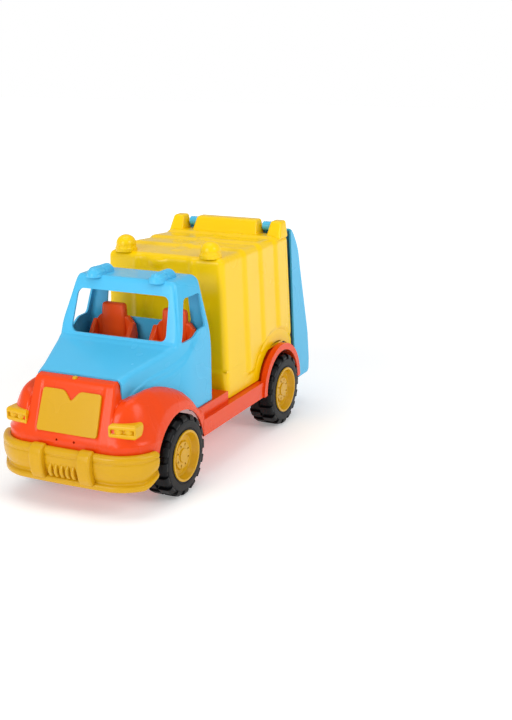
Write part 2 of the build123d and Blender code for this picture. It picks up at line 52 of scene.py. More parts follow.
def moulded_surface():
    """Node group: slightly clouded colour, fine mould texture and duller patches."""
    tree = bpy.data.node_groups.new("moulded_surface", "ShaderNodeTree")
    sockets = [
        ("Colour", "INPUT", "NodeSocketColor", (0.8, 0.8, 0.8, 1)),
        ("Clouding", "INPUT", "NodeSocketFloat", 0.08),
        ("Roughness", "INPUT", "NodeSocketFloat", 0.3),
        ("Grain Scale", "INPUT", "NodeSocketFloat", 1400),
        ("Colour", "OUTPUT", "NodeSocketColor", None),
        ("Roughness", "OUTPUT", "NodeSocketFloat", None),
        ("Height", "OUTPUT", "NodeSocketFloat", None),
    ]
    for name, direction, kind, default in sockets:
        made = tree.interface.new_socket(name=name, in_out=direction, socket_type=kind)
        if default is not None:
            made.default_value = default
    add, link = tree.nodes.new, tree.links.new
    given, result = add("NodeGroupInput"), add("NodeGroupOutput")
    place = add("ShaderNodeTexCoord")

    cloud = add("ShaderNodeTexNoise")
    cloud.inputs["Scale"].default_value = 14
    cloud.inputs["Detail"].default_value = 4
    link(place.outputs["Object"], cloud.inputs["Vector"])
    shade = add("ShaderNodeHueSaturation")
    link(given.outputs["Colour"], shade.inputs["Color"])
    dim = add("ShaderNodeMath")
    dim.operation = "MULTIPLY_ADD"
    dim.inputs[1].default_value = -1
    dim.inputs[2].default_value = 1
    amount = add("ShaderNodeMath")
    amount.operation = "MULTIPLY"
    link(cloud.outputs["Fac"], amount.inputs[0])
    link(given.outputs["Clouding"], amount.inputs[1])
    link(amount.outputs[0], dim.inputs[0])
    link(dim.outputs[0], shade.inputs["Value"])

    rub = add("ShaderNodeTexNoise")
    rub.inputs["Scale"].default_value = 26
    rub.inputs["Detail"].default_value = 1
    link(place.outputs["Object"], rub.inputs["Vector"])
    link(shade.outputs["Color"], result.inputs["Colour"])

    dull = add("ShaderNodeMapRange")
    dull.inputs["From Min"].default_value = 0.1
    dull.inputs["From Max"].default_value = 0.9
    dull.inputs["To Min"].default_value = -0.06
    dull.inputs["To Max"].default_value = 0.06
    link(rub.outputs["Fac"], dull.inputs["Value"])
    rough = add("ShaderNodeMath")
    rough.operation = "ADD"
    link(given.outputs["Roughness"], rough.inputs[0])
    link(dull.outputs["Result"], rough.inputs[1])
    link(rough.outputs[0], result.inputs["Roughness"])

    grain = add("ShaderNodeTexNoise")
    grain.inputs["Detail"].default_value = 2
    link(place.outputs["Object"], grain.inputs["Vector"])
    link(given.outputs["Grain Scale"], grain.inputs["Scale"])
    link(grain.outputs["Fac"], result.inputs["Height"])
    return tree


MOULDED_SURFACE = moulded_surface()


def moulded_plastic(name, colour, roughness=0.25, clouding=0.1, grain=0.000002, coat=0.07):
    """Glossy coloured plastic. The colour is linear, and the grain is the height of its texture."""
    material = bpy.data.materials.new(name)
    material.use_nodes = True
    add, link = material.node_tree.nodes.new, material.node_tree.links.new
    shader = material.node_tree.nodes["Principled BSDF"]
    shader.inputs["Specular IOR Level"].default_value = 0.24
    shader.inputs["Coat Weight"].default_value = coat
    shader.inputs["Coat Roughness"].default_value = 0.12
    surface = add("ShaderNodeGroup")
    surface.node_tree = MOULDED_SURFACE
    surface.inputs["Colour"].default_value = (*colour, 1)
    surface.inputs["Clouding"].default_value = clouding
    surface.inputs["Roughness"].default_value = roughness
    link(surface.outputs["Colour"], shader.inputs["Base Color"])
    link(surface.outputs["Roughness"], shader.inputs["Roughness"])
    bump = add("ShaderNodeBump")
    bump.inputs["Distance"].default_value = grain
    link(surface.outputs["Height"], bump.inputs["Height"])
    link(bump.outputs["Normal"], shader.inputs["Normal"])
    return material


def finish_node(name, material):
    """Gives a carried-over CAD node its material."""
    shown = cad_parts[name]
    if not shown.material_slots:
        shown.data.materials.append(material)
    for place in shown.material_slots:
        place.material = material


ORANGE = moulded_plastic("orange_plastic", (0.86, 0.062, 0.003))


def millimetres(node):
    """Lowest and highest corner of a CAD node, in millimetres."""
    low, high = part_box(node)
    return low * 1000, high * 1000


def eased(value, start, end):
    """0 before start, 1 after end, and a smooth rise between them."""
    part = min(1, max(0, (value - start) / (end - start)))
    return part * part * (3 - 2 * part)


def soft_least(first, second, blend):
    """The lower of two heights, rounded over where they cross."""
    part = max(blend - abs(first - second), 0) / blend
    return min(first, second) - part * part * blend / 4


def soft_most(first, second, blend):
    return -soft_least(-first, -second, blend)


def along(line, x):
    """Height of a line of (x, z) corners at x."""
    for (x_a, z_a), (x_b, z_b) in zip(line, line[1:]):
        if x <= x_b:
            return z_a + (z_b - z_a) * max(0, x - x_a) / (x_b - x_a)
    return line[-1][1]


def add_prism(mesh, corners, y_low, y_high, rounding=0.0, steps=3):
    """(x, z) outline carried from y_low to y_high, with its edges rounded."""
    face = mesh.faces.new([mesh.verts.new((x, y_low, z)) for x, z in corners])
    swept = bmesh.ops.extrude_face_region(mesh, geom=[face])["geom"]
    moved = [part for part in swept if isinstance(part, bmesh.types.BMVert)]
    bmesh.ops.translate(mesh, verts=moved, vec=(0, y_high - y_low, 0))
    faces = list({found for vert in moved for edge in vert.link_edges for found in edge.link_faces} | {face})
    bmesh.ops.recalc_face_normals(mesh, faces=faces)
    edges = list({edge for found in faces for edge in found.edges})
    if rounding:
        bmesh.ops.bevel(mesh, geom=edges, offset=rounding, segments=steps, profile=0.5, affect="EDGES",
                        material=-1, clamp_overlap=True)


def cut_along(mesh, axis, cuts):
    """Divides every edge that runs along an axis."""
    edges = [edge for edge in mesh.edges if abs((edge.verts[0].co - edge.verts[1].co)[axis]) > 1e-6]
    bmesh.ops.subdivide_edges(mesh, edges=edges, cuts=cuts, use_grid_fill=True)


def add_block(mesh, foot, head, rounding=0, steps=3):
    """Solid between two (x, x, y, y, z) rectangles, with its edges rounded."""
    made = bmesh.ops.create_cube(mesh, size=1)["verts"]
    for vert in made:
        side = head if vert.co.z > 0 else foot
        vert.co = (side[vert.co.x > 0], side[2 + (vert.co.y > 0)], side[4])
    if rounding:
        edges = list({edge for vert in made for edge in vert.link_edges})
        bmesh.ops.bevel(mesh, geom=edges, offset=rounding, segments=steps, profile=0.5,
                        affect="EDGES", material=-1, clamp_overlap=True)


def add_turned(mesh, profile, centre, axis, steps=48):
    """Solid of revolution: (radius, distance along the axis) corners spun round an axis through centre."""
    across = Vector((0, 0, 1)) if abs(axis[2]) < 0.5 else Vector((1, 0, 0))
    corners = [mesh.verts.new(Vector(centre) + across * radius + Vector(axis) * rise)
               for radius, rise in profile]
    edges = [mesh.edges.new(pair) for pair in zip(corners, corners[1:])]
    bmesh.ops.spin(mesh, geom=corners + edges, cent=centre, axis=axis, angle=2 * pi, steps=steps,
                   use_merge=True)
    bmesh.ops.remove_doubles(mesh, verts=mesh.verts, dist=0.001)


def join_in(mesh, other, turn=None):
    """Adds another bmesh's shape to a mesh, turned if a matrix is given."""
    data = bpy.data.meshes.new("joined")
    other.to_mesh(data)
    if turn is not None:
        data.transform(turn)
    mesh.from_mesh(data)
    bpy.data.meshes.remove(data)


def solid_copy(mesh):
    """Mesh object of a bmesh in millimetres, used while a piece is still being cut."""
    data = bpy.data.meshes.new("work")
    mesh.to_mesh(data)
    mesh.free()
    work = bpy.data.objects.new("work", data)
    bpy.context.collection.objects.link(work)
    return work


def carved(mesh, cutters, wall=0.0, solver="EXACT"):
    """The shape given a wall inwards, with the cutters' solids taken out of it, as a bmesh."""
    work = solid_copy(mesh)
    if wall:
        shell = work.modifiers.new("wall", "SOLIDIFY")
        shell.thickness = wall
        shell.offset = -1
    taken = [solid_copy(cutter) for cutter in cutters]
    for number, tool in enumerate(taken):
        cut = work.modifiers.new(f"cut_{number}", "BOOLEAN")
        cut.operation = "DIFFERENCE"
        cut.solver = solver
        cut.object = tool
    graph = bpy.context.evaluated_depsgraph_get()
    result = bpy.data.meshes.new_from_object(work.evaluated_get(graph))
    finished = bmesh.new()
    finished.from_mesh(result)
    bpy.data.meshes.remove(result)
    for spent in [work] + taken:
        spent_mesh = spent.data
        bpy.data.objects.remove(spent)
        bpy.data.meshes.remove(spent_mesh)
    return finished


def side_cutter(corners, y_low, y_high, rounding=0.0):
    """Prism for a cut across the truck: (x, z) corners carried from y_low to y_high."""
    cutter = bmesh.new()
    face = cutter.faces.new([cutter.verts.new((x, y_low, z)) for x, z in corners])
    swept = bmesh.ops.extrude_face_region(cutter, geom=[face])["geom"]
    moved = [part for part in swept if isinstance(part, bmesh.types.BMVert)]
    bmesh.ops.translate(cutter, verts=moved, vec=(0, y_high - y_low, 0))
    if rounding:
        edges = [edge for edge in cutter.edges if abs((edge.verts[0].co - edge.verts[1].co).y) > 1]
        bmesh.ops.bevel(cutter, geom=edges, offset=rounding, segments=5, profile=0.5, affect="EDGES",
                        material=-1, clamp_overlap=True)
    bmesh.ops.recalc_face_normals(cutter, faces=cutter.faces)
    return cutter


def front_cutter(corners, x_low, x_high, rounding=0.0):
    """Prism for a cut along the truck: (y, z) corners carried from x_low to x_high."""
    cutter = side_cutter(corners, x_low, x_high, rounding)
    for vert in cutter.verts:
        vert.co = (vert.co.y, vert.co.x, vert.co.z)
    bmesh.ops.recalc_face_normals(cutter, faces=cutter.faces)
    return cutter


def finish_piece(name, mesh, body, material, replaces=(), crease=35):
    """Turns a bmesh in millimetres into a piece in metres that rides on a body."""
    bmesh.ops.scale(mesh, vec=(0.001, 0.001, 0.001), verts=mesh.verts)
    for face in mesh.faces:
        face.smooth = True
    for edge in mesh.edges:
        edge.smooth = len(edge.link_faces) == 2 and edge.calc_face_angle(0) < radians(crease)
    data = bpy.data.meshes.new(name)
    mesh.to_mesh(data)
    mesh.free()
    data.materials.append(material)
    piece = bpy.data.objects.new(name, data)
    bpy.context.collection.objects.link(piece)
    even = piece.modifiers.new("even_shading", "WEIGHTED_NORMAL")
    even.keep_sharp = True
    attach(piece, body)
    if replaces:
        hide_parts(*replaces)
    return piece


# The nose is drawn on rings that run inwards from the edge of its plan, so that the wings, the band over
# the bumper and the bonnet surround flow into each other.
chassis_high = millimetres("chassis")[1]
NOSE_FRONT, SIDE_HALF = chassis_high.x, 98.6
NOSE_REAR, SKIRT = 86.0, 58.0
PLAN_CORNER = 42.0
NOSE_BOW = 3.5                     # how far the front curves back towards its corners
WHEEL_X, WHEEL_ARCH_Z, WHEEL_ARCH_R = 143.9, 48.6, 56.1
WING_CREST = [(86, 92), (90, 97), (100, 109), (106, 117), (118, 126), (130, 131.5), (143, 135.5),
              (160, 139.5), (177, 141.7), (193, 141.5), (206, 139.5), (260, 137)]
BAND_TOP = 87.5
BONNET_HALF, BONNET_Z = 53.5, 152.0
CAB_INSET = 3.0
GRILLE_SINK = 4.0                  # drop of the bonnet's slope behind the grille


def wing_height(x, y, edge):
    """Height of the orange skin at a place that lies edge inside the nose's plan."""
    crest = along(WING_CREST, x)
    arc = (WHEEL_ARCH_R + 4.5) ** 2 - (x - WHEEL_X) ** 2
    lip = min(crest - 8, max(BAND_TOP, WHEEL_ARCH_Z + arc ** 0.5 if arc > 0 else 0))
    bulge = max(0, 34 - edge) / 34
    side = lip + (crest - lip) * (1 - bulge * bulge) ** 0.5
    side -= 7 * eased(-abs(y), -76, -60)
    rise = min(1, max(0, (edge - 2) / 28))
    front = BAND_TOP + (138 - BAND_TOP) * (1 - (1 - rise) ** 2.1)
    wing = side + (front - side) * eased(x + 0.35 * abs(y), 208, 246)
    wing = soft_least(wing, side, 6) - 30 * eased(-abs(y), -60, -46) * eased(x, 205, 214) * eased(edge, 3, 8)
    roof = BONNET_Z + 3.5 * eased(-x, -214, -204)
    recess = GRILLE_SINK * eased(-abs(y), -43, -41) * eased(x, 217.5, 220) * eased(-x, -238, -236)
    slope = 141 - (x - 219.5) * 2.747 - recess
    cheek = BONNET_Z + 2 - max(0, abs(y) - BONNET_HALF + 6 * eased(x, 214, 240)) * 7
    bonnet = soft_least(soft_least(roof, slope, 9), cheek, 7)
    return soft_most(wing, bonnet, 5)


def nose_skin():
    """Grid of square rings, each rounded at its corner, and below the edge a skirt down to the arches."""
    skin = bmesh.new()
    skirt_rows, pitch = 14, 1.35
    length, width = NOSE_FRONT - NOSE_REAR, SIDE_HALF
    columns = round(length / pitch) + skirt_rows
    rows = round(width / pitch) + skirt_rows
    bmesh.ops.create_grid(skin, x_segments=columns, y_segments=2 * rows, size=1)
    for vert in skin.verts:
        step_x = (vert.co.x + 1) / 2 * columns
        step_y = vert.co.y * rows
        beyond = max(step_x - (columns - skirt_rows), abs(step_y) - (rows - skirt_rows), 0)
        near = min(columns - step_x, rows - abs(step_y))
        edge = max(0, near - skirt_rows) * pitch
        x = min(NOSE_REAR + step_x * pitch, NOSE_FRONT - edge)
        y = min(abs(step_y) * pitch, SIDE_HALF - edge)
        if beyond > 0 and step_x - (columns - skirt_rows) >= beyond:
            x = NOSE_FRONT
        if beyond > 0 and abs(step_y) - (rows - skirt_rows) >= beyond:
            y = SIDE_HALF
        corner = max(PLAN_CORNER - edge, 2)
        core_x, core_y = NOSE_FRONT - edge - corner, SIDE_HALF - edge - corner
        if x > core_x and y > core_y:
            out = Vector((x - core_x, y - core_y)).normalized() * corner
            x, y = core_x + out.x, core_y + out.y
        bow = NOSE_BOW * (y / SIDE_HALF) ** 2 * eased(x, 190, NOSE_FRONT)
        z = wing_height(x, y, edge)
        if beyond > 0:
            reach = WHEEL_ARCH_R ** 2 - (x - WHEEL_X) ** 2
            foot = max(SKIRT, WHEEL_ARCH_Z + reach ** 0.5) if reach > 0 and y > 80 else SKIRT
            z += (min(foot, z - 1) - z) * beyond / skirt_rows
        vert.co = (x - bow, y if step_y > 0 else -y, z)
    bmesh.ops.remove_doubles(skin, verts=skin.verts, dist=0.02)
    # the cab stands in an opening of its own shape
    covered = []
    for face in skin.faces:
        middle = face.calc_center_median()
        cab_half = 91.5 if middle.x < 102 else 91.5 - (middle.x - 102) * 0.324
        if middle.x < 206.5 and abs(middle.y) < cab_half - CAB_INSET:
            covered.append(face)
    bmesh.ops.delete(skin, geom=covered, context="FACES")
    return skin


nose_mesh = nose_skin()
cord_holes = []
for side in (1, -1):
    hole = bmesh.new()
    add_turned(hole, [(0, -10), (1.5, -10), (1.5, 10), (0, 10)], (NOSE_FRONT, side * 11.8, 84.3), (1, 0, 0),
               steps=20)
    bmesh.ops.recalc_face_normals(hole, faces=hole.faces)
    cord_holes.append(hole)
nose_mesh = carved(nose_mesh, cord_holes, 2.6, "FAST")
finish_piece("chassis_nose", nose_mesh, "truck", ORANGE, crease=80)


def cad_part(node, cuts):
    """Merged copy of a CAD node, in millimetres, kept on the inner side of each (point, normal) cut."""
    part = bmesh.new()
    part.from_mesh(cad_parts[node].data)
    bmesh.ops.scale(part, vec=(1000, 1000, 1000), verts=part.verts)
    bmesh.ops.remove_doubles(part, verts=part.verts, dist=0.001)
    for point, normal in cuts:
        everything = part.verts[:] + part.edges[:] + part.faces[:]
        bmesh.ops.bisect_plane(part, geom=everything, plane_co=point, plane_no=normal, clear_outer=True)
    bmesh.ops.dissolve_limit(part, angle_limit=radians(0.5), verts=part.verts, edges=part.edges)
    return part


# behind the nose come the sills and the step; under it the plate and ribs that carry the front axle
FRAME_FRONT = 87.5
frame_mesh = cad_part("chassis", [((FRAME_FRONT, 0, 0), (1, 0, 0))])
finish_piece("chassis_frame", frame_mesh, "truck", ORANGE, ["chassis"])
carrier_cuts = [((FRAME_FRONT, 0, 0), (-1, 0, 0)), ((0, 0, 73.5), (0, 0, 1)), ((236, 0, 0), (1, 0, 0)),
                ((0, 60.5, 0), (0, 1, 0)), ((0, -60.5, 0), (0, -1, 0))]
axle_carrier = cad_part("chassis", carrier_cuts)
finish_piece("chassis_axle_carrier", axle_carrier, "truck", ORANGE)

# ---------------------------------------------------------------------------------------------------
# Bumper: one golden moulding that wraps round the nose, with a rolled top, a lower lip, two overriders
# and five ribs between them. It clips under the band of the chassis.

GOLDEN = moulded_plastic("golden_plastic", (0.68, 0.37, 0.005))

BUMPER_END = 203.0
BUMPER_SECTION = [(0.6, 76.2), (3, 77), (6, 76.6), (8.2, 75), (9.2, 72.5), (9.3, 69.8), (8.3, 68.8),
                  (8.3, 67.2), (9.2, 66.2), (9.3, 62), (8.9, 57), (7.8, 52), (6, 47.5), (4.2, 44.3),
                  (3.6, 42.6), (4.2, 41.4),
                  (6, 40.8), (7.4, 39.8), (7.8, 37), (7.2, 34.5), (5.6, 33.2), (3.4, 33), (2, 34), (1.6, 38),
                  (1.6, 42), (3.4, 47), (5.4, 53), (6.4, 60), (6.4, 70), (4, 73.5), (1.6, 74)]


def bumper_path(part):
    """Place and outward direction on the nose's plan; part runs from -1 at the right end to 1 at the left."""
    front, turn = SIDE_HALF - PLAN_CORNER, PLAN_CORNER * pi / 2
    side = NOSE_FRONT - PLAN_CORNER - BUMPER_END
    run = abs(part) * (front + turn + side)
    angle = min(max(0, (run - front) / PLAN_CORNER), pi / 2)
    x = NOSE_FRONT - PLAN_CORNER + PLAN_CORNER * cos(angle) - max(0, run - front - turn)
    y = min(run, front) + PLAN_CORNER * sin(angle)
    x -= NOSE_BOW * (y / SIDE_HALF) ** 2 * eased(x, 190, NOSE_FRONT)
    way = 1 if part > 0 else -1
    return Vector((x, way * y, 0)), Vector((cos(angle), way * sin(angle), 0))


bumper_mesh = bmesh.new()
lengths, rounds = 120, len(BUMPER_SECTION)
bmesh.ops.create_grid(bumper_mesh, x_segments=lengths, y_segments=rounds, size=1)
for vert in bumper_mesh.verts:
    place, out = bumper_path(vert.co.x)
    offset, z = BUMPER_SECTION[round((vert.co.y + 1) / 2 * rounds) % rounds]
    z = 77 - (77 - z) * (1 - 0.3 * eased(abs(vert.co.x), 0.8, 1))
    closing = 1 - 0.75 * eased(abs(vert.co.x), 0.955, 1)
    vert.co = place + out * offset * closing + Vector((0, 0, 56 + (z - 56) * (0.55 + 0.45 * closing ** 0.5)))
bmesh.ops.remove_doubles(bumper_mesh, verts=bumper_mesh.verts, dist=0.01)
bmesh.ops.holes_fill(bumper_mesh, edges=bumper_mesh.edges, sides=0)
bmesh.ops.recalc_face_normals(bumper_mesh, faces=bumper_mesh.faces)
OVERRIDER_Y, OVERRIDER_HALF = 32.6, 9.0
for side in (1, -1):
    tusk = [(241, 37), (250, 38), (254.5, 46), (256.8, 58), (256.6, 68), (253.5, 77), (247, 80.5), (241, 79)]
    tusk_y = side * OVERRIDER_Y
    add_prism(bumper_mesh, tusk, tusk_y - OVERRIDER_HALF, tusk_y + OVERRIDER_HALF, 3.2, 4)
for number in range(5):
    middle = (number - 2) * 7.8
    add_prism(bumper_mesh, [(243, 41), (249, 42.5), (252, 48), (252.3, 54), (249.5, 59.5), (243, 60)],
              middle - 2.5, middle + 2.5, 1.6, 3)
finish_piece("front_bumper_shell", bumper_mesh, "truck", GOLDEN, ["front_bumper"],
             crease=50)

# ---------------------------------------------------------------------------------------------------
# Grille: a thin golden plate, notched at the top, that snaps into the bonnet surround; its tab shows
# through the hole above it.

GRILLE_FOOT, GRILLE_HEAD = Vector((237.7, 0, 91)), Vector((219.5, 0, 141))
grille_up = (GRILLE_HEAD - GRILLE_FOOT).normalized()
grille_out = Vector((grille_up.z, 0, -grille_up.x))
grille_mesh = bmesh.new()
half_plate = [(41, 1.2), (40.4, 30), (39.4, 51.4), (11.5, 51.4), (6.5, 46.5)]
rim_points = half_plate + [(0, 38.5)] + [(-across, rise) for across, rise in reversed(half_plate)]
grille_mesh.faces.new([grille_mesh.verts.new((across, rise, 0)) for across, rise in rim_points])
bmesh.ops.bevel(grille_mesh, geom=grille_mesh.verts[:], offset=4.5, segments=6, profile=0.5,
                affect="VERTICES", material=-1, clamp_overlap=True)
raised = bmesh.ops.extrude_face_region(grille_mesh, geom=grille_mesh.faces[:])["geom"]
top_face = [part for part in raised if isinstance(part, bmesh.types.BMFace)]
bmesh.ops.translate(grille_mesh, verts=[part for part in raised if isinstance(part, bmesh.types.BMVert)],
                    vec=(0, 0, 2.6))
bmesh.ops.bevel(grille_mesh, geom=list(top_face[0].edges), offset=1.2, segments=4, profile=0.5,
                affect="EDGES", material=-1, clamp_overlap=True)
bmesh.ops.recalc_face_normals(grille_mesh, faces=grille_mesh.faces)
for vert in grille_mesh.verts:
    across, rise, depth = vert.co
    vert.co = GRILLE_FOOT + grille_up * rise + grille_out * (depth - 1.7) + Vector((0, across, 0))
snap_tab = [(0, -6), (3.2, -6), (3.2, 1.2), (2.4, 2.2), (0, 2.6)]
add_turned(grille_mesh, snap_tab, (210.5, -2, 151.5), (0, 0, 1), steps=32)
finish_piece("grille_face", grille_mesh, "truck", GOLDEN, ["grille_plate"])

# ---------------------------------------------------------------------------------------------------
# Headlights: golden mouldings pushed into the wings, each a thick frame with two round lenses inside.

LAMP_GOLD = moulded_plastic("headlight_plastic", (0.78, 0.43, 0.006), roughness=0.22)
lamp_low, lamp_high = millimetres("headlight_left")
for name, side in (("left", 1), ("right", -1)):
    lamp_mesh = bmesh.new()
    front, back = lamp_high.x, lamp_low.x
    bmesh.ops.create_cube(lamp_mesh, size=1)
    for vert in lamp_mesh.verts:
        forward = vert.co.x > 0
        y = (lamp_high.y if vert.co.y > 0 else lamp_low.y) + 0.5
        lean = -6 if vert.co.y > 0 and forward else 0
        z = lamp_high.z + 1 if vert.co.z > 0 else lamp_low.z
        vert.co = ((front + 4.5 if forward else back) + lean, y, z)
    bmesh.ops.recalc_face_normals(lamp_mesh, faces=lamp_mesh.faces)
    long_edges = [edge for edge in lamp_mesh.edges if abs((edge.verts[0].co - edge.verts[1].co).x) > 5]
    bmesh.ops.bevel(lamp_mesh, geom=long_edges, offset=4, segments=5, profile=0.5, affect="EDGES",
                    material=-1)
    glass = max(lamp_mesh.faces, key=lambda face: face.normal.x)
    bmesh.ops.inset_region(lamp_mesh, faces=[glass], thickness=2.9, depth=0.0)
    bmesh.ops.inset_region(lamp_mesh, faces=[glass], thickness=0.9, depth=-3.6)
    rims = [edge for edge in lamp_mesh.edges if edge.calc_face_angle(0) > radians(40)]
    bmesh.ops.bevel(lamp_mesh, geom=rims, offset=0.9, segments=3, profile=0.5, affect="EDGES", material=-1,
                    clamp_overlap=True)
    middle_z = (lamp_low.z + lamp_high.z + 1) / 2
    for y in (lamp_low.y + 10.5, lamp_high.y - 9.5):
        lens = [(6.2 * cos(radians(angle)), -5 + 5.4 * sin(radians(angle))) for angle in range(0, 90, 12)]
        lens_foot = (front + 4.0 - 0.19 * (y - lamp_low.y), y, middle_z)
        add_turned(lamp_mesh, [(6.2, -8)] + lens + [(0, 0.4)], lens_foot, (1, 0, 0), steps=32)
    if side < 0:
        bmesh.ops.scale(lamp_mesh, vec=(1, -1, 1), verts=lamp_mesh.verts)
        bmesh.ops.reverse_faces(lamp_mesh, faces=lamp_mesh.faces)
    finish_piece(f"headlight_lamp_{name}", lamp_mesh, "truck", LAMP_GOLD,
                 [f"headlight_{name}"])

# ---------------------------------------------------------------------------------------------------
# Cab: one sky blue moulding with open windows, the bonnet and two roof lamps, each with a ribbed barrel.
# It drops inside the wings and is screwed down from below through four bosses.

SKY_BLUE = moulded_plastic("sky_blue_plastic", (0.08, 0.52, 0.84))

cab_low, cab_high = millimetres("cab")
CAB_REAR, CAB_FRONT = cab_low.x, 206.2
CAB_HALF, CAB_FOOT = cab_high.y, cab_low.z
CAB_ROOF = 247.8
SCREEN_HEAD = 98.0
CAB_CORNER = 8.5
CREASE = [(60, 184), (92, 171.5), (112, 160.5), (135, 152), (150, 149.5), (168, 145.5),
          (186, 137.5), (210, 124)]


def cab_top(x):
    """Height of the roof, the windscreen and the bonnet along the middle."""
    screen = 248 - (x - SCREEN_HEAD) * 3.087
    bonnet = 177.2 - (x - 120) * 0.2445 - 1.0 * eased(x, 126, 133)
    return soft_most(soft_least(CAB_ROOF, screen, 9), bonnet, 6)


def cab_half_at(x, z):
    """Half width: the bonnet narrows forwards, and the upper part leans in."""
    plan = soft_least(CAB_HALF, CAB_HALF - (x - 102) * 0.324, 5)
    lean = soft_least(CAB_HALF, CAB_HALF - (z - 168) * 0.243, 5)
    return soft_least(plan, lean, 5)


def cab_skin():
    """Rounded box whose roof, sides and hem follow the cab's side and plan views."""
    skin = bmesh.new()
    bmesh.ops.create_cube(skin, size=1)
    open_faces = [face for face in skin.faces if face.normal.z < -0.5 or face.normal.x > 0.5]
    bmesh.ops.delete(skin, geom=open_faces, context="FACES_ONLY")
    cut_along(skin, 0, 99)
    cut_along(skin, 1, 49)
    cut_along(skin, 2, 49)
    stations = [(0, CAB_REAR), (0.3, 92), (0.6, 124), (1, CAB_FRONT)]
    for vert in skin.verts:
        part_x, part_y, part_z = vert.co + Vector((0.5, 0.5, 0.5))
        x = along(stations, part_x)
        top = cab_top(x)
        hem = CAB_FOOT if x < 88 else max(CAB_FOOT, along(WING_CREST, x) - 9)
        z = hem + part_z * (top - hem)
        y = (2 * part_y - 1) * cab_half_at(x, z)
        tall = CAB_CORNER + 13 * eased(x, 94, 102) * eased(-x, -124, -116)
        half = cab_half_at(x, z)
        core_y = min(max(y, CAB_CORNER - half), half - CAB_CORNER)
        core = Vector((max(x, CAB_REAR + 6), core_y, min(z, top - tall)))
        out = Vector(((x - core.x) / 6, (y - core.y) / CAB_CORNER, (z - core.z) / tall))
        if out.length > 1e-6:
            out.normalize()
            place = core + Vector((out.x * 6, out.y * CAB_CORNER, out.z * tall))
        else:
            place = Vector((x, y, z))
        line = along(CREASE, x)
        fade = eased(x, 74, 96) * eased(-x, -204, -188) * out.y * out.y
        step = 1.5 * eased(line - z, -1.6, 1.6) + 1.2 * eased(line - 7 * eased(x, 84, 120) - z, -1.6, 1.6)
        place.y += (1 if y > 0 else -1) * (step - 2.7) * fade if abs(out.y) > 0.01 else 0
        vert.co = place
    bmesh.ops.recalc_face_normals(skin, faces=skin.faces)
    return skin


cab_mesh = cab_skin()
windscreen = [(67, 179), (64, 231), (-64, 231), (-67, 179)]
side_window = [(56, 187), (75, 186), (88, 178.5), (113.5, 177.5), (88.5, 227), (53, 227)]
rear_window = [(62, 185), (57, 230), (-57, 230), (-62, 185)]
cutters = [front_cutter(windscreen, 88, 160, 8), front_cutter(rear_window, 30, 56, 6),
           side_cutter(side_window, 60, 120, 4), side_cutter(side_window, -120, -60, 4)]
cab_mesh = carved(cab_mesh, cutters, 2.6, "FAST")

# roof lamps: a fluted dome that looks forward and a ribbed barrel behind it
LAMP_R = 11.0
lamp_profile = [(0, 106.5), (4, 106), (7.4, 104), (9.8, 100.6), (LAMP_R, 96), (LAMP_R, 88.5), (10, 87.2),
                (9, 86.6), (9, 84), (10, 83.2)]
for rib in range(5):
    start = 82 - 3.2 * rib
    lamp_profile += [(LAMP_R - 0.4, start), (LAMP_R - 0.4, start - 1.6), (LAMP_R - 1.4, start - 2.2)]
lamp_profile += [(9, 65.5), (6, 64.5), (0, 64)]
for side in (1, -1):
    lamp = bmesh.new()
    add_turned(lamp, lamp_profile, (0, side * 44, 246.2), (1, 0, 0), steps=64)
    for vert in lamp.verts:
        if vert.co.x > 88:
            centre = Vector((vert.co.x, side * 44, 246.2))
            around = atan2(vert.co.z - centre.z, vert.co.y - centre.y)
            ridge = 1 + 0.045 * cos(12 * around) * eased(-vert.co.x, -106, -100)
            vert.co = centre + (vert.co - centre) * ridge
    bmesh.ops.bisect_plane(lamp, geom=lamp.verts[:] + lamp.edges[:] + lamp.faces[:], plane_co=(0, 0, 245),
                           plane_no=(0, 0, -1), clear_outer=True)
    bmesh.ops.recalc_face_normals(lamp, faces=lamp.faces)
    join_in(cab_mesh, lamp)
finish_piece("cab_shell", cab_mesh, "truck", SKY_BLUE, ["cab"])

# ---------------------------------------------------------------------------------------------------
# Seats: a red-orange moulding of two bucket seats on one floor, with the post of the steering wheel.
# It is screwed to the chassis from below.

SEAT_RED = moulded_plastic("seat_plastic", (1.0, 0.095, 0.01))

seat_low, seat_high = millimetres("seat_unit")
SEAT_BACK, SEAT_FLOOR, HEADREST_TOP = seat_low.x, seat_low.z, seat_high.z
seat_mesh = cad_part("seat_unit", [((83, 0, 0), (-1, 0, 0))])
join_in(seat_mesh, cad_part("seat_unit", [((83, 0, 0), (1, 0, 0)), ((0, 0, 99), (0, 0, 1))]))
shoulders = [(30, SEAT_FLOOR + 2), (30.5, 166), (28, 178), (21, 186.5), (17, 188)]
for middle in (44, -44):
    back = bmesh.new()
    half = shoulders + [(-across, rise) for across, rise in reversed(shoulders)]
    add_prism(back, half, SEAT_BACK, SEAT_BACK + 9, 3, 4)
    for vert in back.verts:
        vert.co = (vert.co.y, middle + vert.co.x, vert.co.z)
    bmesh.ops.recalc_face_normals(back, faces=back.faces)
    join_in(seat_mesh, back)
    add_block(seat_mesh, (SEAT_BACK + 1, 63, middle - 20.5, middle + 20.5, 128),
              (SEAT_BACK, 60, middle - 16.5, middle + 16.5, HEADREST_TOP), rounding=4.5, steps=5)
    add_block(seat_mesh, (SEAT_BACK + 6, 83, middle - 25, middle + 25, SEAT_FLOOR + 1),
              (SEAT_BACK + 6, 82, middle - 24, middle + 24, 131), rounding=4, steps=4)
    for edge in (1, -1):
        wing = [(55, SEAT_FLOOR + 1), (81, SEAT_FLOOR + 1), (82, 134), (77, 150), (69, 168), (59, 181),
                (55, 181)]
        add_prism(seat_mesh, wing, middle + edge * 27 - 3.4, middle + edge * 27 + 3.4, 2.4, 4)
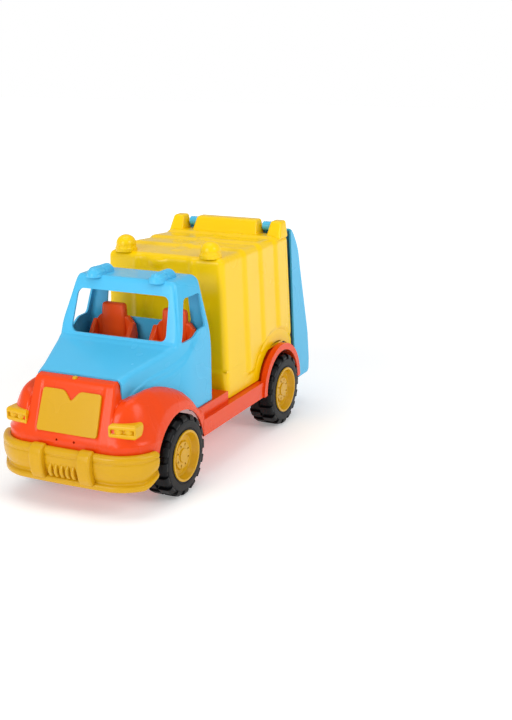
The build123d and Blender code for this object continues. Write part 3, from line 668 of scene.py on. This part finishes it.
finish_piece("seat_pair", seat_mesh, "truck", SEAT_RED, ["seat_unit"])
finish_node("steering_wheel", ORANGE)

# ---------------------------------------------------------------------------------------------------
# Container: one deep yellow moulding, open below and behind, with stepped panels on its sides and roof,
# a fluted front wall, two beacons and a raised rear lip with the bars that the tailgate hooks over.

YELLOW = moulded_plastic("yellow_plastic", (1.0, 0.64, 0.0))

box_low, box_high = millimetres("container")
BOX_FRONT, BOX_LOW, BOX_ROOF = box_high.x, box_low.z, 262.0
BOX_REAR = -193.0                  # rear edge at the roof; it leans back to the foot
BOX_FOOT_HALF = box_high.y
BOX_ROOF_HALF = 86.6
BOX_WALL = 2.6
BOX_CORNER = 11.0                  # rounding of the front corners and of the roof
ARCH_X, ARCH_Z, ARCH_R = -143.9, 55.2, 61.5
BORDER_R = 77.0                    # plain border round the wheel arch
BORDER_Z = 93.0                    # top of the plain border along the foot
PANEL_STEPS = (-50.0, -98.0, -146.0)
STEP_RUN, STEP_RISE = 11.0, 3.0
FLUTE_Y, FLUTE_HALF, FLUTE_RISE = 43.5, 8.0, 2.6


def panel_rise(x):
    """Each panel starts proud of the one in front and falls back to it before the next step."""
    rise = 0
    for start in PANEL_STEPS:
        if x < start:
            fall = min(1, max(0, (start - STEP_RUN - x) / (48 - STEP_RUN)))
            rise = STEP_RISE * eased(-x, -start, STEP_RUN - start) * (1 - 0.85 * fall)
    return rise


def container_skin():
    """Rounded box that leans and bulges as the moulding does; its foot follows the wheel arches."""
    skin = bmesh.new()
    bmesh.ops.create_cube(skin, size=1)
    open_faces = [face for face in skin.faces if face.normal.x < -0.5 or face.normal.z < -0.5]
    bmesh.ops.delete(skin, geom=open_faces, context="FACES_ONLY")
    cut_along(skin, 0, 95)
    cut_along(skin, 1, 59)
    cut_along(skin, 2, 63)
    for vert in skin.verts:
        part_x, part_y, part_z = vert.co + Vector((0.5, 0.5, 0.5))
        x = BOX_REAR + part_x * (BOX_FRONT - BOX_REAR)
        y = (2 * part_y - 1) * BOX_FOOT_HALF
        reach = ARCH_R ** 2 - (x - ARCH_X) ** 2
        foot = max(BOX_LOW, ARCH_Z + reach ** 0.5) if reach > 0 else BOX_LOW
        z = foot + part_z * (BOX_ROOF - foot)
        sharp = Vector((x, y, z))
        core = Vector((min(x, BOX_FRONT - BOX_CORNER),
                       min(max(y, BOX_CORNER - BOX_FOOT_HALF), BOX_FOOT_HALF - BOX_CORNER),
                       min(z, BOX_ROOF - BOX_CORNER)))
        out = (sharp - core).normalized()
        place = core + out * BOX_CORNER
        # the field of stepped panels, inside the plain border
        distance = min(hypot(x - ARCH_X, z - ARCH_Z) - BORDER_R, z - BORDER_Z)
        field = max(eased(distance, 0, 5), out.z * out.z)
        border = max(0, 1 - abs(distance + 1) / 3.5) * (1 - out.z * out.z) * eased(-x, 48, 56)
        rise = (panel_rise(x) * field - 1.1 * border) * (1 - out.x * out.x)
        band = eased(-abs(y), -9, -5) * eased(x, -158, -150) * eased(-x, 22, 30)
        rise += 1.3 * band * max(0, out.z) ** 2
        flute = max(0, 1 - abs(abs(y) - FLUTE_Y) / FLUTE_HALF)
        hump = max(0, 1 - hypot((y + 11) / 17, (z - 249) / 9))
        ledge = eased(-z, -115, -111)
        rise += (FLUTE_RISE * flute * flute * (3 - 2 * flute) + 2.4 * eased(hump, 0, 0.7) + 1.2 * ledge
                 ) * max(0, out.x) ** 2
        place += out * (rise - 3.0)
        height = (place.z - BOX_LOW) / (BOX_ROOF - BOX_LOW)
        place.y *= 1 + (BOX_ROOF_HALF / BOX_FOOT_HALF - 1) * height
        place.x -= 8 * (1 - height) * (BOX_FRONT - place.x) / (BOX_FRONT - BOX_REAR)
        vert.co = place
    bmesh.ops.recalc_face_normals(skin, faces=skin.faces)
    return skin


container_mesh = container_skin()
if sum(face.normal.z * face.calc_area() for face in container_mesh.faces) < 0:
    bmesh.ops.reverse_faces(container_mesh, faces=container_mesh.faces)
container_mesh = carved(container_mesh, [], BOX_WALL)

# beacons at the roof's front corners: a stepped foot and a domed top
BEACON_R = 13.0
DOME_FOOT = 267.4 - BOX_ROOF
dome_angles = [radians(angle) for angle in range(0, 90, 10)]
dome = [(BEACON_R * cos(angle), DOME_FOOT + 12 * sin(angle)) for angle in dome_angles]
for side in (1, -1):
    foot = [(14.4, -4), (14.4, 0.6), (13.6, 1.2), (13.6, 2.6), (13, 3), (13, 4.4), (12.6, 4.6), (12.6, 5.2)]
    add_turned(container_mesh, foot + dome + [(0, 17.4)], (-8, side * 62, BOX_ROOF), (0, 0, 1))

# the rear lip stands in three blocks, with the hinge bars across the two gaps
LIP_TOP = box_high.z
for inner, outer, inner_top, outer_top in ((-51, 51, -47, 47), (65, 87.5, 68, 84), (-87.5, -65, -84, -68)):
    add_block(container_mesh, (BOX_REAR, -163, inner, outer, BOX_ROOF - 6),
              (BOX_REAR, -175, inner_top, outer_top, LIP_TOP), rounding=3.5, steps=4)
for side in (1, -1):
    add_turned(container_mesh, [(0, -10), (2.6, -10), (2.6, 10), (0, 10)],
               (-189, side * 57.5, 270.5), (0, 1, 0), steps=24)
bmesh.ops.remove_doubles(container_mesh, verts=container_mesh.verts, dist=0.001)
finish_piece("container_shell", container_mesh, "load_body", YELLOW, ["container"])
finish_node("container_floor", YELLOW)

# ---------------------------------------------------------------------------------------------------
# Tailgate: one sky blue moulding, hollow towards the container, that hangs from the two hinge bars by
# hooks and swings up to let the load out.

GATE_HALF_FOOT, GATE_HALF_TOP = 92.9, 86.6
GATE_OUTLINE = [(-203, 266), (-208.5, 264), (-214, 258.5), (-223.5, 244), (-229, 232), (-233, 213),
                (-255.6, 90), (-256, 82), (-252.6, 48), (-250, 45.5), (-219, 45.5), (-215.5, 50), (-204, 86)]
gate_mesh = bmesh.new()
add_prism(gate_mesh, GATE_OUTLINE, -1, 1)
for vert in gate_mesh.verts:
    height = (vert.co.z - BOX_LOW) / (BOX_ROOF - BOX_LOW)
    vert.co.y *= GATE_HALF_FOOT + (GATE_HALF_TOP - GATE_HALF_FOOT) * height
side_edges = [edge for edge in gate_mesh.edges if abs((edge.verts[0].co - edge.verts[1].co).y) < 1
              and min(vert.co.x for vert in edge.verts) < -206]
bmesh.ops.bevel(gate_mesh, geom=side_edges, offset=5, segments=5, profile=0.5, affect="EDGES", material=-1,
                clamp_overlap=True)
open_side = [face for face in gate_mesh.faces if face.normal.x > 0.7]
bmesh.ops.delete(gate_mesh, geom=open_side, context="FACES")
gate_mesh = carved(gate_mesh, [], 2.6)
BAR = Vector((-189, 0, 270.5))
for side in (1, -1):
    middle = side * 57.5
    hook = [(2.7, -6.2), (5.4, -6.2), (6, -5.6), (6, 5.6), (5.4, 6.2), (2.7, 6.2), (2.7, -6.2)]
    add_turned(gate_mesh, hook, (BAR.x, middle, BAR.z), (0, 1, 0), steps=40)
    neck = [(-209, 259.5), (-193.5, 264.5), (-191.5, 267.5), (-191.5, 275.8), (-196.5, 275.6), (-202, 271),
            (-209, 263.5)]
    add_prism(gate_mesh, neck, middle - 6.2, middle + 6.2, 0.8, 2)
bmesh.ops.remove_doubles(gate_mesh, verts=gate_mesh.verts, dist=0.001)
finish_piece("tailgate_door_shell", gate_mesh, "tailgate_door", SKY_BLUE, ["tailgate"])

# ---------------------------------------------------------------------------------------------------
# Tyres: hollow black mouldings pushed over the rims, with sixteen square lugs on each shoulder, set half
# a pitch apart; the lugs wrap over on to the smooth side wall.

TYRE_BLACK = moulded_plastic("tyre_plastic", (0.003, 0.0035, 0.0045), roughness=0.42, coat=0.06,
                             grain=0.000005)
TYRE_BLACK.node_tree.nodes["Principled BSDF"].inputs["Specular IOR Level"].default_value = 0.16
tyre_low, tyre_high = millimetres("tyre_front_left")
TYRE_IN, TYRE_OUT = tyre_low.y, tyre_high.y
TYRE_R = (tyre_high.z - tyre_low.z) / 2
TYRE_MIDDLE = (TYRE_IN + TYRE_OUT) / 2
LUGS, LUG_HALF = 16, 5.2


def tyre_shape():
    """Left tyre on the Y axis, with its width as in the truck."""
    shape = bmesh.new()
    half = [(TYRE_R - 21, TYRE_OUT - 1), (TYRE_R - 19, TYRE_OUT - 0.5), (TYRE_R - 17.6, TYRE_OUT - 0.3),
            (TYRE_R - 17, TYRE_OUT - 0.9), (TYRE_R - 16.2, TYRE_OUT - 0.9), (TYRE_R - 15.6, TYRE_OUT - 0.3),
            (TYRE_R - 11, TYRE_OUT), (TYRE_R - 7.6, TYRE_OUT - 0.6), (TYRE_R - 7, TYRE_OUT - 1.6),
            (TYRE_R - 5.6, TYRE_OUT - 1.9), (TYRE_R - 4.3, TYRE_OUT - 3.2), (TYRE_R - 3.6, TYRE_OUT - 5.4),
            (TYRE_R - 3.4, TYRE_MIDDLE + 4)]
    whole = half + [(radius, 2 * TYRE_MIDDLE - across) for radius, across in reversed(half)] + [half[0]]
    add_turned(shape, whole, (0, 0, 0), (0, 1, 0), steps=96)
    bmesh.ops.recalc_face_normals(shape, faces=shape.faces)
    lug = bmesh.new()
    section = [(TYRE_MIDDLE + 0.4, TYRE_R - 4.5), (TYRE_MIDDLE + 0.4, TYRE_R - 0.3),
               (TYRE_OUT - 5, TYRE_R - 0.3), (TYRE_OUT - 2, TYRE_R - 1.6),
               (TYRE_OUT - 0.5, TYRE_R - 4.4), (TYRE_OUT - 0.5, TYRE_R - 7.5)]
    add_prism(lug, section, -LUG_HALF, LUG_HALF, 0.8, 2)
    for vert in lug.verts:
        vert.co = (vert.co.y, vert.co.x, vert.co.z)
    bmesh.ops.reverse_faces(lug, faces=lug.faces)
    over = Matrix.Translation((0, 2 * TYRE_MIDDLE, 0)) @ Matrix.Rotation(pi, 4, "Z")
    for number in range(LUGS):
        turn = Matrix.Rotation(2 * pi * number / LUGS, 4, "Y")
        between = Matrix.Rotation(2 * pi * (number + 0.5) / LUGS, 4, "Y")
        join_in(shape, lug, turn)
        join_in(shape, lug, between @ over)
    lug.free()
    return shape


for end, axle_x in (("front", 143.9), ("rear", -143.9)):
    for name, side in (("left", 1), ("right", -1)):
        tyre_mesh = tyre_shape()
        if side < 0:
            about = Matrix.Rotation(pi, 3, "Z")
            bmesh.ops.rotate(tyre_mesh, cent=(0, 0, 0), matrix=about, verts=tyre_mesh.verts)
        bmesh.ops.translate(tyre_mesh, vec=(axle_x, 0, TYRE_R), verts=tyre_mesh.verts)
        finish_piece(f"tyre_{end}_{name}_lugged", tyre_mesh, f"{end}_wheelset", TYRE_BLACK,
                     [f"tyre_{end}_{name}"])
        finish_node(f"rim_{end}_{name}", GOLDEN)

# ---------------------------------------------------------------------------------------------------
# Axles, tipping pin and screws: plated steel rod and self-tapping screws.

STEEL = bpy.data.materials.new("steel")
STEEL.use_nodes = True
steel_nodes, steel_links = STEEL.node_tree.nodes, STEEL.node_tree.links
steel_shader = steel_nodes["Principled BSDF"]
steel_shader.inputs["Metallic"].default_value = 1
steel_place = steel_nodes.new("ShaderNodeTexCoord")
tarnish = steel_nodes.new("ShaderNodeTexNoise")
tarnish.inputs["Scale"].default_value = 220
tarnish.inputs["Detail"].default_value = 4
steel_links.new(steel_place.outputs["Object"], tarnish.inputs["Vector"])
plating = steel_nodes.new("ShaderNodeMix")
plating.data_type = "RGBA"
plating.inputs["A"].default_value = (0.42, 0.42, 0.43, 1)
plating.inputs["B"].default_value = (0.62, 0.61, 0.6, 1)
steel_links.new(tarnish.outputs["Fac"], plating.inputs["Factor"])
steel_links.new(plating.outputs["Result"], steel_shader.inputs["Base Color"])
sheen = steel_nodes.new("ShaderNodeMapRange")
sheen.inputs["To Min"].default_value = 0.22
sheen.inputs["To Max"].default_value = 0.42
steel_links.new(tarnish.outputs["Fac"], sheen.inputs["Value"])
steel_links.new(sheen.outputs["Result"], steel_shader.inputs["Roughness"])
drawn = steel_nodes.new("ShaderNodeBump")
drawn.inputs["Distance"].default_value = 0.00001
steel_links.new(tarnish.outputs["Fac"], drawn.inputs["Height"])
steel_links.new(drawn.outputs["Normal"], steel_shader.inputs["Normal"])
for name in ("axle_front", "axle_rear", "tipping_pin", "body_screws", "floor_screws"):
    finish_node(name, STEEL)

# ---------------------------------------------------------------------------------------------------
# Studio: a pale floor, soft light from above and from the truck's left, and the camera.

FLOOR_HALF = 6.0
floor_mesh = bmesh.new()
bmesh.ops.create_grid(floor_mesh, x_segments=1, y_segments=1, size=FLOOR_HALF)
floor_data = bpy.data.meshes.new("studio_floor")
floor_mesh.to_mesh(floor_data)
floor_mesh.free()
studio_floor = bpy.data.objects.new("studio_floor", floor_data)
bpy.context.collection.objects.link(studio_floor)
paper = bpy.data.materials.new("studio_paper")
paper.use_nodes = True
paper_nodes, paper_links = paper.node_tree.nodes, paper.node_tree.links
paper_shader = paper_nodes["Principled BSDF"]
paper_shader.inputs["Base Color"].default_value = (0.93, 0.93, 0.93, 1)
paper_shader.inputs["Roughness"].default_value = 0.9
paper_shader.inputs["Emission Color"].default_value = (1, 1, 1, 1)
# the paper glows more away from the truck, so that it runs on into the white backdrop
spot = paper_nodes.new("ShaderNodeTexCoord")
away = paper_nodes.new("ShaderNodeVectorMath")
away.operation = "LENGTH"
glow = paper_nodes.new("ShaderNodeMapRange")
glow.inputs["From Min"].default_value = 0.5
glow.inputs["From Max"].default_value = 3.0
glow.inputs["To Min"].default_value = 0.25
glow.inputs["To Max"].default_value = 1.0
paper_links.new(spot.outputs["Object"], away.inputs[0])
paper_links.new(away.outputs["Value"], glow.inputs["Value"])
paper_links.new(glow.outputs["Result"], paper_shader.inputs["Emission Strength"])
floor_data.materials.append(paper)

sky = bpy.data.worlds.new("studio_light")
sky.use_nodes = True
backdrop = sky.node_tree.nodes["Background"]
backdrop.inputs["Color"].default_value = (1, 1, 1, 1)
seen = sky.node_tree.nodes.new("ShaderNodeLightPath")
level = sky.node_tree.nodes.new("ShaderNodeMapRange")
level.inputs["To Min"].default_value = 0.5
level.inputs["To Max"].default_value = 1.0
sky.node_tree.links.new(seen.outputs["Is Camera Ray"], level.inputs["Value"])
sky.node_tree.links.new(level.outputs["Result"], backdrop.inputs["Strength"])
bpy.context.scene.world = sky


def softbox(name, place, aim, width, power):
    """Square lamp at a place, facing the point it lights."""
    lamp = bpy.data.lights.new(name, "AREA")
    lamp.shape = "SQUARE"
    lamp.size = width
    lamp.energy = power
    shown = bpy.data.objects.new(name, lamp)
    shown.location = place
    shown.rotation_euler = (Vector(aim) - Vector(place)).to_track_quat("-Z", "Y").to_euler()
    bpy.context.collection.objects.link(shown)


TRUCK_MIDDLE = (0, 0, 0.13)
softbox("key_light", (0.35, 1.7, 1.25), TRUCK_MIDDLE, 0.9, 11)
softbox("top_light", (0.1, -0.1, 1.9), TRUCK_MIDDLE, 1.3, 9)
softbox("front_light", (2.0, -0.5, 0.9), TRUCK_MIDDLE, 1.0, 16)

camera_data = bpy.data.cameras.new("camera")
camera_data.lens = 59.19
camera_data.sensor_width = 36
camera = bpy.data.objects.new("camera", camera_data)
camera.location = (1.29834, 0.74893, 0.54708)
camera.rotation_euler = (radians(73.956), radians(0.3736), radians(115.437))
bpy.context.collection.objects.link(camera)
bpy.context.scene.camera = camera
bpy.context.scene.view_settings.view_transform = "Standard"
